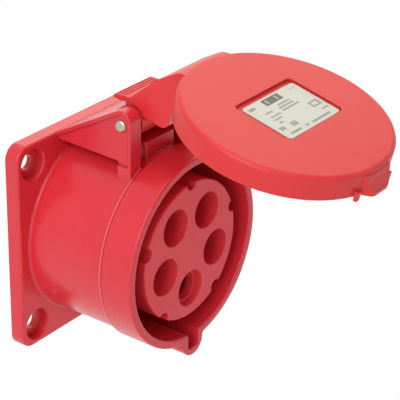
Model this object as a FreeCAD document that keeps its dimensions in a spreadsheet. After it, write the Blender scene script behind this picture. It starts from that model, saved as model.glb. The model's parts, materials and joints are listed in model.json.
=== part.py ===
"""Industrial panel socket, 32 A, five poles, square flange, sprung hinged lid.

Frame, in millimetres: +Z up, the mouth looks along -Y, the back of the flange lies on
y = 0 and the origin is the centre of its four fixing holes. At rest the lid stands open.
"""
import FreeCAD, Part
import math
import os
import Sketcher

V = FreeCAD.Vector
OUT = "parts"

# Driving dimensions. Each one is set here once, and every piece below reads it.
SIZES = [
    # square flange and its fixing holes
    ("flange_side", 75.0),
    ("flange_thick", 5.3),
    ("flange_corner", 5.0),
    ("flange_edge", 0.9),
    ("hole_pitch", 60.0),
    ("hole_dia", 5.5),
    ("sink_dia", 10.8),
    ("sink_depth", 3.0),
    ("sink_chamfer", 0.5),
    # round shroud
    ("mouth_depth", 49.05),
    ("bore_dia", 62.8),
    ("barrel_wall", 1.8),
    ("collar_step", 1.1),
    ("collar_length", 13.05),
    ("rim_round", 0.7),
    ("root_round", 1.0),
    ("partition", 6.0),
    # keyway at six o'clock
    ("key_width", 5.6),
    ("key_depth", 6.0),
    ("key_wall", 2.4),
    # hinge bracket
    ("bracket_width", 36.0),
    ("cheek_thick", 5.3),
    ("hinge_inset", 17.45),
    ("hinge_clear", 12.4),
    ("front_margin", 4.6),
    ("knuckle_dia", 10.0),
    ("roof_angle", 29.4),
    ("roof_wall", 2.0),
    ("nose_round", 3.9),
    ("web_gap", 1.8),
    ("post_width", 5.5),
    ("web_recess", 0.8),
    ("web_rim", 1.3),
    ("block_width", 15.6),
    ("block_rise", 4.0),
    ("block_length", 6.6),
    ("block_round", 1.6),
    # lid
    ("lid_angle", 75.93),
    ("lid_over", 24.0),
    ("lid_lap", 0.2),
    ("lid_depth", 8.0),
    ("lid_round", 1.5),
    ("lid_ceiling", 2.3),
    ("skirt_wall", 1.4),
    ("seat_gap", 0.1),
    ("arm_step", 0.4),
    ("arm_floor", 3.8),
    ("tail_width", 18.6),
    ("tail_reach", 10.4),
    ("tail_top", 3.9),
    ("tail_slope", 15.0),
    ("rib_pitch", 1.35),
    ("rib_groove", 0.8),
    ("tab_width", 14.4),
    ("tab_reach", 2.8),
    ("tab_round", 3.2),
    ("tab_lip", 1.4),
    ("tab_drop", 1.5),
    ("nib_width", 1.8),
    ("nib_drop", 1.2),
    # label recess and label
    ("recess_width", 30.4),
    ("recess_height", 21.4),
    ("recess_depth", 1.0),
    ("recess_round", 2.0),
    ("recess_side", 2.0),
    ("label_margin", 1.2),
    ("label_thick", 0.3),
    ("label_side", 1.0),
    # lid gasket
    ("gasket_width", 3.2),
    ("gasket_thick", 3.4),
    ("gasket_relief", 0.3),
    # hinge pin and torsion spring
    ("pin_dia", 4.0),
    ("spring_wire", 0.8),
    ("spring_mean", 5.4),
    ("spring_turns", 7.0),
    ("spring_pitch", 1.6),
    # contact insert
    ("insert_dia", 49.4),
    ("insert_setback", 1.65),
    ("insert_round", 0.5),
    ("flute_dia", 4.8),
    ("pole_radius", 14.42),
    ("entry_dia", 13.0),
    ("line_entry_depth", 11.0),
    ("earth_entry_depth", 2.3),
    ("earth_ledge", 3.0),
    ("earth_ledge_dia", 9.4),
    ("earth_lead_in", 0.2),
    # contacts
    ("line_bore", 6.1),
    ("earth_bore", 8.1),
    ("sleeve_wall", 1.35),
    ("mate_depth", 24.0),
    ("shoulder_step", 1.4),
    ("shoulder_length", 9.9),
    ("wire_dia", 5.2),
    ("wire_depth", 10.0),
    ("ring_thick", 0.6),
    ("ring_length", 4.0),
    ("ring_gap", 1.2),
    ("ring_setback", 2.0),
    # terminal carrier behind the panel
    ("carrier_base", 3.0),
    ("carrier_floor", 2.4),
    ("carrier_round", 1.0),
    ("hub_wall", 1.2),
    # screws
    ("clamp_dia", 4.0),
    ("clamp_margin", 2.0),
    ("clamp_edge", 1.2),
    ("clamp_sunk", 0.8),
    ("clamp_bite", 1.2),
    ("fix_dia", 2.5),
    ("fix_head_dia", 5.0),
    ("fix_head", 1.8),
    ("fix_length", 8.0),
    ("fix_edge", 3.5),
    ("head_gap", 0.1),
    ("join_dia", 3.0),
    ("join_head_dia", 5.6),
    ("join_head", 2.2),
    ("join_grip", 7.0),
    ("join_edge", 4.2),
    ("slot_width", 0.9),
    ("slot_depth", 0.9),
    # flange gasket
    ("seal_margin", 2.6),
    ("seal_width", 2.4),
    ("seal_thick", 1.2),
    # clearances
    ("press_gap", 0.01),
    ("run_gap", 0.05),
    ("slide_gap", 0.1),
    ("side_gap", 0.5),
    ("fit_gap", 0.4),
    ("swing_gap", 0.6),
]

EARTH_ANGLE = 270.0
POLE_STEP = 72.0
LINE_ANGLES = (198.0, 126.0, 54.0)
NEUTRAL_ANGLE = 342.0
JOIN_ANGLES = (90.0, 234.0, 306.0)
FIX_ANGLES = (0.0, 180.0)


class Dim:
    """A size together with the cell expression that gives it."""

    def __init__(self, value, text):
        self.value = float(value)
        self.text = text

    def _join(self, sign, other, value):
        return Dim(value, "({} {} {})".format(self.text, sign, other.text))

    def __add__(self, other):
        other = dim(other)
        return self._join("+", other, self.value + other.value)

    def __sub__(self, other):
        other = dim(other)
        return self._join("-", other, self.value - other.value)

    def __mul__(self, other):
        other = dim(other)
        return self._join("*", other, self.value * other.value)

    def __truediv__(self, other):
        other = dim(other)
        return self._join("/", other, self.value / other.value)

    def __radd__(self, other):
        return dim(other) + self

    def __rsub__(self, other):
        return dim(other) - self

    def __rmul__(self, other):
        return dim(other) * self

    def __rtruediv__(self, other):
        return dim(other) / self

    def __neg__(self):
        return Dim(-self.value, "(0 - {})".format(self.text))


def dim(number):
    """Plain numbers become sizes with themselves as their expression."""
    if isinstance(number, Dim):
        return number
    text = "{:.6f}".format(abs(number))
    return Dim(number, "(0 - {})".format(text) if number < 0 else text)


def root(size):
    return Dim(math.sqrt(size.value), "sqrt({})".format(size.text))


def cosd(angle):
    angle = dim(angle)
    return Dim(math.cos(math.radians(angle.value)), "cos({})".format(angle.text))


def sind(angle):
    angle = dim(angle)
    return Dim(math.sin(math.radians(angle.value)), "sin({})".format(angle.text))


def tand(angle):
    angle = dim(angle)
    return Dim(math.tan(math.radians(angle.value)), "tan({})".format(angle.text))


class SizeTable:
    """The sheet of driving dimensions; each alias becomes an attribute."""

    def __init__(self, document, rows):
        self.sheet = document.addObject("Spreadsheet::Sheet", "sizes")
        for row, (name, value) in enumerate(rows, start=1):
            self.sheet.set("A{}".format(row), name)
            self.sheet.set("B{}".format(row), str(value))
            self.sheet.setAlias("B{}".format(row), name)
            setattr(self, name, Dim(value, "sizes." + name))


class Profile:
    """A sketch on one of a body's own origin planes, every point bound to the sheet."""

    def __init__(self, body, name, plane, offset=(0.0, 0.0, 0.0), turn=0.0):
        self.obj = body.newObject("Sketcher::SketchObject", name)
        self.obj.AttachmentSupport = [(origin_item(body, plane), "")]
        self.obj.MapMode = "FlatFace"
        offset = [dim(value) for value in offset]
        turn = dim(turn)
        self.obj.AttachmentOffset = FreeCAD.Placement(
            V(*[value.value for value in offset]),
            FreeCAD.Rotation(V(0, 0, 1), turn.value))
        for letter, value in zip("xyz", offset):
            if value.value != 0.0:
                self.obj.setExpression("AttachmentOffset.Base." + letter, value.text)

    def bind(self, kind, places, size):
        size = dim(size)
        index = self.obj.addConstraint(Sketcher.Constraint(kind, *places, size.value))
        self.obj.setExpression("Constraints[{}]".format(index), size.text)

    def join(self, kind, *places):
        self.obj.addConstraint(Sketcher.Constraint(kind, *places))

    def put(self, item, end, x, y):
        self.bind("DistanceX", (-1, 1, item, end), x)
        self.bind("DistanceY", (-1, 1, item, end), y)

    def circle(self, x, y, radius):
        x, y, radius = dim(x), dim(y), dim(radius)
        ring = Part.Circle(V(x.value, y.value, 0), V(0, 0, 1), radius.value)
        item = self.obj.addGeometry(ring, False)
        self.put(item, 3, x, y)
        self.bind("Radius", (item,), radius)

    def outline(self, corners):
        """Closed polygon; a corner is (x, y) or (x, y, radius)."""
        spots = [(dim(c[0]), dim(c[1]), dim(c[2]) if len(c) > 2 else None) for c in corners]
        count = len(spots)
        points = [V(x.value, y.value, 0) for x, y, _ in spots]
        leave, reach, arcs = [], [], []
        for i, (x, y, radius) in enumerate(spots):
            here = points[i]
            back = points[i - 1] - here
            ahead = points[(i + 1) % count] - here
            if radius is None:
                reach.append(here)
                leave.append(here)
                arcs.append(None)
                continue
            back.normalize()
            ahead.normalize()
            half = back.getAngle(ahead) / 2.0
            run = radius.value / math.tan(half)
            middle = back + ahead
            middle.normalize()
            centre = here + middle * (radius.value / math.sin(half))
            first = here + back * run
            last = here + ahead * run
            reach.append(first)
            leave.append(last)
            left = back.cross(ahead).z < 0
            a1 = math.atan2(first.y - centre.y, first.x - centre.x)
            a2 = math.atan2(last.y - centre.y, last.x - centre.x)
            ring = Part.Circle(centre, V(0, 0, 1), radius.value)
            arcs.append((Part.ArcOfCircle(ring, a1, a2) if left else Part.ArcOfCircle(ring, a2, a1), left))
        lines = []
        for i in range(count):
            segment = Part.LineSegment(leave[i], reach[(i + 1) % count])
            lines.append(self.obj.addGeometry(segment, False))
        for i, (x, y, radius) in enumerate(spots):
            before, after = lines[i - 1], lines[i]
            if radius is None:
                self.join("Coincident", before, 2, after, 1)
                self.put(after, 1, x, y)
                continue
            arc, left = arcs[i]
            item = self.obj.addGeometry(arc, False)
            start, end = (1, 2) if left else (2, 1)
            mark = self.obj.addGeometry(Part.Point(points[i]), True)
            self.put(mark, 1, x, y)
            self.join("Tangent", before, 2, item, start)
            self.join("Tangent", item, end, after, 1)
            self.join("PointOnObject", mark, 1, before)
            self.join("PointOnObject", mark, 1, after)
            self.bind("Radius", (item,), radius)


def origin_item(body, role):
    return next(item for item in body.Origin.OriginFeatures if item.Role == role)


def new_body(label):
    body = doc.addObject("PartDesign::Body", label)
    body.Label = label
    return body


def settle(body, feature, grows=None):
    """Recompute, then make sure that the feature changed the solid the right way."""
    before = body.Shape.Volume if not body.Shape.isNull() else 0.0
    doc.recompute()
    body.Tip = feature
    doc.recompute()
    after = body.Shape.Volume
    if "Invalid" in feature.State or "Error" in feature.State:
        raise RuntimeError("{} {} failed".format(body.Label, feature.Name))
    if grows is True and after <= before * 1.00001:
        raise RuntimeError("{} {} adds nothing".format(body.Label, feature.Name))
    if grows is False and after >= before * 0.99999:
        raise RuntimeError("{} {} cuts nothing".format(body.Label, feature.Name))
    return feature


def pad(body, profile, length, both=False, back=False):
    item = body.newObject("PartDesign::Pad", profile.obj.Name + "_pad")
    item.Profile = profile.obj
    item.SideType = "Symmetric" if both else "One side"
    item.Reversed = back
    item.setExpression("Length", dim(length).text)
    return settle(body, item, True)


def pocket(body, profile, length, both=False, back=False):
    item = body.newObject("PartDesign::Pocket", profile.obj.Name + "_cut")
    item.Profile = profile.obj
    item.SideType = "Symmetric" if both else "One side"
    item.Reversed = back
    item.setExpression("Length", dim(length).text)
    return settle(body, item, False)


def revolve(body, profile, axis="V_Axis"):
    item = body.newObject("PartDesign::Revolution", profile.obj.Name + "_turn")
    item.Profile = profile.obj
    item.ReferenceAxis = (profile.obj, [axis])
    item.Angle = 360.0
    return settle(body, item, True)


def groove(body, profile, axis="V_Axis"):
    item = body.newObject("PartDesign::Groove", profile.obj.Name + "_groove")
    item.Profile = profile.obj
    item.ReferenceAxis = (profile.obj, [axis])
    item.Angle = 360.0
    return settle(body, item, False)


def ring_of(body, features, count, angle=360.0):
    """Copies of features round the body's own Y axis."""
    item = body.newObject("PartDesign::PolarPattern", features[0].Name + "_ring")
    item.Originals = features
    item.Axis = (origin_item(body, "Y_Axis"), [""])
    item.Angle = angle
    item.Occurrences = count
    return settle(body, item)


def mirror(body, features):
    item = body.newObject("PartDesign::Mirrored", features[0].Name + "_mirror")
    item.Originals = features
    item.MirrorPlane = (origin_item(body, "YZ_Plane"), [""])
    return settle(body, item)


def round_edges(body, base, name, radius, wanted):
    """Fillet the edges of a feature that the test picks by their geometry."""
    names = ["Edge{}".format(i + 1) for i, edge in enumerate(base.Shape.Edges) if wanted(edge)]
    item = body.newObject("PartDesign::Fillet", name)
    item.Base = (base, names)
    item.setExpression("Radius", dim(radius).text)
    return settle(body, item)


def edge_on(axis, level):
    """Edges that lie wholly in the plane where a coordinate has one value."""
    level = dim(level).value

    def wanted(edge):
        ends = [edge.valueAt(edge.FirstParameter), edge.valueAt(edge.LastParameter)]
        middle = edge.valueAt((edge.FirstParameter + edge.LastParameter) / 2.0)
        return all(abs(getattr(p, axis) - level) < 1e-4 for p in ends + [middle])
    return wanted


def place(body, base, axis=None, angle=0.0):
    base = [dim(value) for value in base]
    angle = dim(angle)
    turn = FreeCAD.Rotation(V(*axis), angle.value) if axis else FreeCAD.Rotation()
    body.Placement = FreeCAD.Placement(V(*[value.value for value in base]), turn)
    for letter, value in zip("xyz", base):
        body.setExpression("Placement.Base." + letter, value.text)


def box_corners(x0, x1, y0, y1, radius=None):
    spots = [(x0, y0), (x1, y0), (x1, y1), (x0, y1)]
    return [spot + (radius,) for spot in spots] if radius is not None else spots


doc = FreeCAD.newDocument("panel_socket")
S = SizeTable(doc, SIZES)
doc.recompute()

# Sizes that follow from the ones above.
half_side = S.flange_side / 2
half_pitch = S.hole_pitch / 2
bore_r = S.bore_dia / 2
barrel_r = bore_r + S.barrel_wall
collar_r = barrel_r + S.collar_step
collar_start = S.mouth_depth - S.collar_length
hinge_back = S.mouth_depth - S.hinge_inset
hinge_rise = collar_r + S.hinge_clear
front_y = hinge_back + S.front_margin
web_floor = barrel_r + S.web_gap
block_top = collar_r + S.block_rise
key_reach = bore_r + S.key_depth
knuckle_r = S.knuckle_dia / 2
roof_reach = knuckle_r + S.run_gap
bracket_half = S.bracket_width / 2
cheek_in = bracket_half - S.cheek_thick
knuckle_half = cheek_in - S.side_gap
arm_half = knuckle_half - S.arm_step
insert_r = S.insert_dia / 2
insert_face = S.mouth_depth - S.insert_setback
insert_hole_r = insert_r + S.fit_gap
fix_circle = insert_hole_r + S.fix_edge
carrier_r = fix_circle + S.fix_head_dia / 2 + S.head_gap
join_circle = insert_r - S.join_edge
seal_in = carrier_r + S.seal_margin
line_r = S.line_bore / 2 + S.sleeve_wall
earth_r = S.earth_bore / 2 + S.sleeve_wall
hub_r = S.pole_radius + earth_r + S.slide_gap + S.hub_wall
terminal_back = S.carrier_base + S.clamp_margin + S.clamp_dia / 2
contact_back = terminal_back + S.clamp_dia / 2 + S.clamp_edge
carrier_end = contact_back + S.slide_gap + S.carrier_floor
line_front = insert_face - S.line_entry_depth - 1.5
earth_front = insert_face - S.earth_entry_depth - S.earth_ledge - 2.0
key_half = S.key_width / 2
boss_half = key_half + S.key_wall
boss_reach = key_reach + S.key_wall


def roof_height(back):
    """Height of the bracket's top line at a distance behind the panel face."""
    lift = roof_reach / cosd(S.roof_angle)
    return hinge_rise + lift + (back - hinge_back) * tand(S.roof_angle)


def add_housing():
    """Flange, shroud, keyway and hinge bracket: one moulding."""
    body = new_body("housing")
    flange = Profile(body, "flange", "XZ_Plane")
    flange.outline(box_corners(-half_side, half_side, -half_side, half_side, S.flange_corner))
    slab = pad(body, flange, S.flange_thick)
    round_edges(body, slab, "flange_round", S.flange_edge, edge_on("y", -S.flange_thick))

    shroud = Profile(body, "shroud", "XY_Plane")
    shroud.outline([
        (0, -S.flange_thick / 2),
        (barrel_r + S.root_round * 2, -S.flange_thick / 2),
        (barrel_r + S.root_round * 2, -S.flange_thick),
        (barrel_r, -S.flange_thick, S.root_round),
        (barrel_r, -collar_start),
        (collar_r, -collar_start),
        (collar_r, -S.mouth_depth, S.rim_round),
        (0, -S.mouth_depth)])
    revolve(body, shroud)

    boss = Profile(body, "key_boss", "XZ_Plane", offset=(0, 0, S.flange_thick))
    flare = (bore_r + barrel_r) / 2
    flare_x = boss_half + S.key_wall * 1.4
    flare_z = root(flare * flare - flare_x * flare_x)
    foot_z = root(collar_r * collar_r - boss_half * boss_half)
    boss.outline([
        (-flare_x, -flare_z),
        (-boss_half, -foot_z, S.key_wall * 0.8),
        (-boss_half, -boss_reach, boss_half * 0.96),
        (boss_half, -boss_reach, boss_half * 0.96),
        (boss_half, -foot_z, S.key_wall * 0.8),
        (flare_x, -flare_z)])
    pad(body, boss, S.mouth_depth - S.flange_thick)

    cheeks = Profile(body, "cheeks", "YZ_Plane")
    post_back = front_y - S.post_width
    foot = bore_r - S.cheek_thick
    cheeks.outline([
        (-S.flange_thick / 2, web_floor),
        (-post_back, web_floor - 0.8, 0.8),
        (-post_back, foot),
        (-front_y, foot),
        (-front_y, roof_height(front_y), S.nose_round),
        (-S.flange_thick / 2, roof_height(S.flange_thick / 2))])
    pad(body, cheeks, S.bracket_width, both=True)

    hollow = Profile(body, "hollow", "YZ_Plane")
    drop = S.roof_wall / cosd(S.roof_angle)
    roof_end = hinge_back - knuckle_r - S.swing_gap
    hollow.outline([
        (-S.flange_thick, foot - 1),
        (-front_y - 1, foot - 1),
        (-front_y - 1, roof_height(front_y + 1) + 1),
        (-roof_end, roof_height(front_y + 1) + 1),
        (-roof_end, roof_height(roof_end) - drop),
        (-S.flange_thick, roof_height(S.flange_thick) - drop)])
    pocket(body, hollow, cheek_in * 2, both=True)

    again = Profile(body, "barrel_top", "XY_Plane")
    again.outline([
        (0, -S.flange_thick / 2),
        (barrel_r, -S.flange_thick / 2),
        (barrel_r, -collar_start),
        (0, -collar_start)])
    revolve(body, again)

    block = Profile(body, "guard_block", "XY_Plane", offset=(0, 0, bore_r - 4))
    guard_front = front_y - S.front_margin + S.arm_floor - 0.8
    block.outline([
        (-S.block_width / 2, -guard_front + S.block_length),
        (-S.block_width / 2, -guard_front, S.block_round),
        (S.block_width / 2, -guard_front, S.block_round),
        (S.block_width / 2, -guard_front + S.block_length)])
    pad(body, block, block_top - bore_r + 4)

    web = Profile(body, "web_face", "YZ_Plane", offset=(0, 0, bracket_half))
    rim_drop = S.web_rim / cosd(S.roof_angle)
    web.outline([
        (-S.flange_thick, web_floor - 2),
        (-front_y + S.web_rim, web_floor - 2),
        (-front_y + S.web_rim, roof_height(front_y - S.web_rim) - rim_drop, S.nose_round - S.web_rim),
        (-S.flange_thick, roof_height(S.flange_thick) - rim_drop)])
    mirror(body, [pocket(body, web, S.web_recess)])

    bore = Profile(body, "bore", "XY_Plane")
    bore.outline([
        (0, 1),
        (insert_hole_r, 1),
        (insert_hole_r, -S.partition),
        (bore_r, -S.partition, 1.0),
        (bore_r, -S.mouth_depth, S.rim_round),
        (bore_r + S.rim_round * 1.6, -S.mouth_depth),
        (bore_r + S.rim_round * 1.6, -S.mouth_depth - 1),
        (0, -S.mouth_depth - 1)])
    groove(body, bore)

    keyway = Profile(body, "keyway", "XZ_Plane", offset=(0, 0, S.mouth_depth))
    keyway.outline([
        (-key_half, -insert_r - 4),
        (-key_half, -key_reach, key_half * 0.5),
        (key_half, -key_reach, key_half * 0.5),
        (key_half, -insert_r - 4)])
    pocket(body, keyway, S.mouth_depth - S.partition - 2)

    hinge = Profile(body, "pin_hole", "YZ_Plane")
    hinge.circle(-hinge_back, hinge_rise, S.pin_dia / 2 + S.press_gap)
    pocket(body, hinge, S.bracket_width + 2, both=True)

    fixing = Profile(body, "fixing_hole", "XY_Plane", offset=(half_pitch, 0, half_pitch))
    hole_r = S.hole_dia / 2
    sink_r = S.sink_dia / 2
    shelf = S.flange_thick - S.sink_depth
    fixing.outline([
        (0, 1),
        (hole_r, 1),
        (hole_r, -shelf),
        (sink_r, -shelf),
        (sink_r, -S.flange_thick + S.sink_chamfer),
        (sink_r + S.sink_chamfer, -S.flange_thick),
        (sink_r + S.sink_chamfer, -S.flange_thick - 1),
        (0, -S.flange_thick - 1)])
    ring_of(body, [groove(body, fixing)], 4)

    seal = Profile(body, "seal_groove", "XY_Plane")
    seal.outline(box_corners(seal_in - S.run_gap, seal_in + S.seal_width + S.run_gap, -S.seal_thick, 1))
    groove(body, seal)

    for number, angle in enumerate(FIX_ANGLES):
        thread = Profile(body, "insert_thread_{}".format(number), "XZ_Plane")
        thread.circle(fix_circle * cosd(angle), fix_circle * sind(angle), S.fix_dia / 2 + S.press_gap)
        pocket(body, thread, S.fix_length - S.carrier_base + 0.2, back=True)
    return body


def lid_frame(body):
    """Local frame of the lid: hinge axis along X, face outward along +Z, free end at -Y."""
    place(body, (0, -hinge_back, hinge_rise))
    tilt = 90 - S.lid_angle
    body.Placement = FreeCAD.Placement(body.Placement.Base, FreeCAD.Rotation(V(1, 0, 0), tilt.value))
    body.setExpression("Placement.Rotation.Angle", tilt.text)


lid_r = collar_r + S.lid_lap
lid_foot = S.mouth_depth - hinge_back + S.seat_gap
lid_face = lid_foot + S.lid_depth
lid_centre = hinge_rise
gasket_out = lid_r - S.skirt_wall - S.slide_gap
gasket_in = gasket_out - S.gasket_width
gasket_low = lid_foot - S.seat_gap + S.gasket_relief
gasket_high = gasket_low + S.gasket_thick
saddle_r = collar_r + S.swing_gap
recess_level = lid_face - S.recess_depth


def add_lid():
    """Cap, hinge arm, knuckle, ribbed tail, grip tab and nibs: one moulding."""
    body = new_body("lid")
    cap = Profile(body, "cap", "XZ_Plane", offset=(0, 0, lid_centre))
    cap.outline([
        (0, lid_foot),
        (lid_r, lid_foot),
        (lid_r, lid_face, S.lid_round),
        (0, lid_face)])
    revolve(body, cap)

    arm = Profile(body, "arm", "YZ_Plane")
    near = lid_centre - lid_r
    arm.outline([
        (3.0, 3.0),
        (-3.0, S.arm_floor),
        (-near - 1.4, S.arm_floor, 3.2),
        (-near - 2.4, lid_foot + 1.5),
        (-near - 5.2, gasket_high + 0.5),
        (-near - 5.2, lid_face),
        (-near - 1.0, lid_face, 6.0),
        (-near + 6.3, lid_face - 6.7, 10.0),
        (3.9, 5.6)])
    pad(body, arm, arm_half * 2, both=True)

    knuckle = Profile(body, "knuckle", "YZ_Plane")
    knuckle.circle(0, 0, knuckle_r)
    pad(body, knuckle, knuckle_half * 2, both=True)

    tail = Profile(body, "tail", "YZ_Plane")
    stop = 90 - S.roof_angle + S.lid_over - (90 - S.lid_angle)

    def under(back):
        """Underside of the tail: the line that meets the roof at the end of the swing."""
        return (roof_reach + S.slide_gap - back * cosd(stop)) / sind(stop)

    def over(back):
        """Height of the tail's ribbed top."""
        return S.tail_top + (S.tail_reach - back) * tand(S.tail_slope)

    tail_root = knuckle_r * 0.72
    tail_heel = S.tail_reach * 0.7
    tail.outline([
        (2.0, 3.0),
        (tail_root, under(tail_root)),
        (tail_heel, under(tail_heel), 0.6),
        (S.tail_reach, S.tail_top - 1.3, 0.4),
        (S.tail_reach - 0.1, over(S.tail_reach - 0.1), 0.4),
        (tail_heel - 2.0, over(tail_heel - 2.0)),
        (3.0, 6.0)])
    pad(body, tail, S.tail_width, both=True)

    tab = Profile(body, "grip_tab", "XY_Plane", offset=(0, 0, lid_foot))
    tab_half = S.tab_width / 2
    edge = lid_centre + lid_r
    tab.outline([
        (-tab_half, -edge + 3),
        (-tab_half, -edge + 1.2),
        (-tab_half * 0.62, -edge - S.tab_reach, S.tab_round),
        (tab_half * 0.62, -edge - S.tab_reach, S.tab_round),
        (tab_half, -edge + 1.2),
        (tab_half, -edge + 3)])
    pad(body, tab, S.lid_depth - S.tab_drop)

    scoop = Profile(body, "tab_scoop", "YZ_Plane")
    scoop.outline([
        (-edge - S.tab_reach - 2, lid_foot + S.tab_lip),
        (-edge - S.tab_reach + 0.2, lid_foot + S.tab_lip),
        (-edge - S.tab_reach * 0.27, lid_face - S.tab_drop - 1.9, 3.0),
        (-edge, lid_face - S.tab_drop + 0.5),
        (-edge - S.tab_reach - 2, lid_face - S.tab_drop + 0.5)])
    pocket(body, scoop, S.tab_width + 1, both=True)

    nib = Profile(body, "nib", "XY_Plane", offset=(0, 0, lid_foot - S.nib_drop))
    nib.outline(box_corners(tab_half + 0.6, tab_half + 0.6 + S.nib_width, -edge - 0.2, -edge + 3.0))
    mirror(body, [pad(body, nib, S.nib_drop + 2.0)])

    under_side = Profile(body, "underside", "XZ_Plane", offset=(0, 0, lid_centre))
    skirt_in = lid_r - S.skirt_wall
    rib_out = gasket_in - S.slide_gap
    rib_in = rib_out - 0.9
    under_side.outline([
        (0, lid_face - S.lid_ceiling),
        (rib_in, lid_face - S.lid_ceiling),
        (rib_in, gasket_low + 1.0),
        (rib_out, gasket_low + 1.0),
        (rib_out, gasket_high),
        (skirt_in, gasket_high),
        (skirt_in, lid_foot),
        (saddle_r, lid_foot),
        (saddle_r, 0),
        (0, 0)])
    groove(body, under_side)

    recess = Profile(body, "label_recess", "XY_Plane", offset=(0, 0, lid_face))
    middle = -lid_centre + 0.8
    recess.outline(box_corners(
        S.recess_side - S.recess_width / 2, S.recess_side + S.recess_width / 2,
        middle - S.recess_height / 2, middle + S.recess_height / 2, S.recess_round))
    pocket(body, recess, S.recess_depth)

    bore = Profile(body, "pin_bore", "YZ_Plane")
    bore.circle(0, 0, S.pin_dia / 2 + S.run_gap)
    pocket(body, bore, knuckle_half * 2 + 2, both=True)

    coil = Profile(body, "spring_pocket", "YZ_Plane", offset=(0, 0, knuckle_half))
    coil.circle(0, 0, (S.spring_mean + S.spring_wire) / 2 + S.fit_gap)
    pocket(body, coil, S.spring_turns * S.spring_pitch + S.spring_wire * 2)

    for number in range(3):
        rib = Profile(body, "tail_groove_{}".format(number), "YZ_Plane")
        along = S.tail_reach - 0.9 - S.rib_pitch * number
        rib.circle(along, over(along) + 0.1, S.rib_groove / 2)
        pocket(body, rib, S.tail_width - 1.6, both=True)
    lid_frame(body)
    doc.recompute()
    return body


def add_lid_trim():
    """Plain label in the recess and the ring gasket under the cap."""
    label = new_body("lid_label")
    plate = Profile(label, "plate", "XY_Plane", offset=(0, 0, recess_level))
    middle = -lid_centre + 0.8
    left = S.recess_side - S.recess_width / 2 + S.label_margin + S.label_side
    right = S.recess_side + S.recess_width / 2 - S.label_margin + 0.6
    low = middle - S.recess_height / 2 + S.label_margin - 0.5
    high = middle + S.recess_height / 2 - S.label_margin - 0.5
    plate.outline(box_corners(left, right, low, high, 1.2))
    pad(label, plate, S.label_thick)
    lid_frame(label)

    gasket = new_body("lid_gasket")
    ring = Profile(gasket, "ring", "XZ_Plane", offset=(0, 0, lid_centre))
    ring.outline([
        (gasket_in, gasket_low, 0.5),
        (gasket_out, gasket_low, 0.5),
        (gasket_out, gasket_high),
        (gasket_in, gasket_high)])
    revolve(gasket, ring)
    lid_frame(gasket)
    doc.recompute()
    return [label, gasket]


def add_hinge():
    """Steel pin, and the torsion spring that shuts the lid."""
    pin = new_body("hinge_pin")
    rod = Profile(pin, "rod", "XY_Plane")
    reach = bracket_half - 0.1
    edge = 0.4
    rod.outline([
        (-reach, 0),
        (reach, 0),
        (reach, S.pin_dia / 2 - edge),
        (reach - edge, S.pin_dia / 2),
        (-reach + edge, S.pin_dia / 2),
        (-reach, S.pin_dia / 2 - edge)])
    revolve(pin, rod, axis="H_Axis")
    place(pin, (0, -hinge_back, hinge_rise))

    path = doc.addObject("Part::Helix", "spring_path")
    path.Pitch = S.spring_pitch.value
    path.setExpression("Pitch", S.spring_pitch.text)
    path.Height = (S.spring_pitch * S.spring_turns).value
    path.setExpression("Height", (S.spring_pitch * S.spring_turns).text)
    path.Radius = (S.spring_mean / 2).value
    path.setExpression("Radius", (S.spring_mean / 2).text)
    wire = doc.addObject("Part::Circle", "spring_wire_section")
    wire.setExpression("Radius", (S.spring_wire / 2).text)
    wire.Placement = FreeCAD.Placement(V((S.spring_mean / 2).value, 0, 0), FreeCAD.Rotation(V(1, 0, 0), 90))
    wire.setExpression("Placement.Base.x", (S.spring_mean / 2).text)
    spring = doc.addObject("Part::Sweep", "lid_spring")
    spring.Label = "lid_spring"
    spring.Sections = [wire]
    spring.Spine = (path, ["Edge1"])
    spring.Solid = True
    spring.Frenet = True
    start = knuckle_half - S.spring_turns * S.spring_pitch - S.spring_wire * 1.2
    spring.Placement = FreeCAD.Placement(
        V(start.value, -hinge_back.value, hinge_rise.value), FreeCAD.Rotation(V(0, 1, 0), 90))
    spring.setExpression("Placement.Base.x", start.text)
    spring.setExpression("Placement.Base.y", (-hinge_back).text)
    spring.setExpression("Placement.Base.z", hinge_rise.text)
    doc.recompute()
    return [pin, spring]


def chamber(body, name, angle, steps):
    """Stepped hole along Y at the pole circle: (back y, front y, radius at the back, extra at the front)."""
    centre = (S.pole_radius * cosd(angle), 0, S.pole_radius * sind(angle))
    cut = Profile(body, name, "XY_Plane", offset=centre)
    corners = []
    for back, front, radius, *flare in steps:
        corners.append((radius + flare[0] if flare else radius, front))
        corners.append((radius, back))
    first = steps[0][1]
    last = steps[-1][0]
    cut.outline([(0, first)] + corners + [(0, last)])
    return groove(body, cut)


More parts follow.
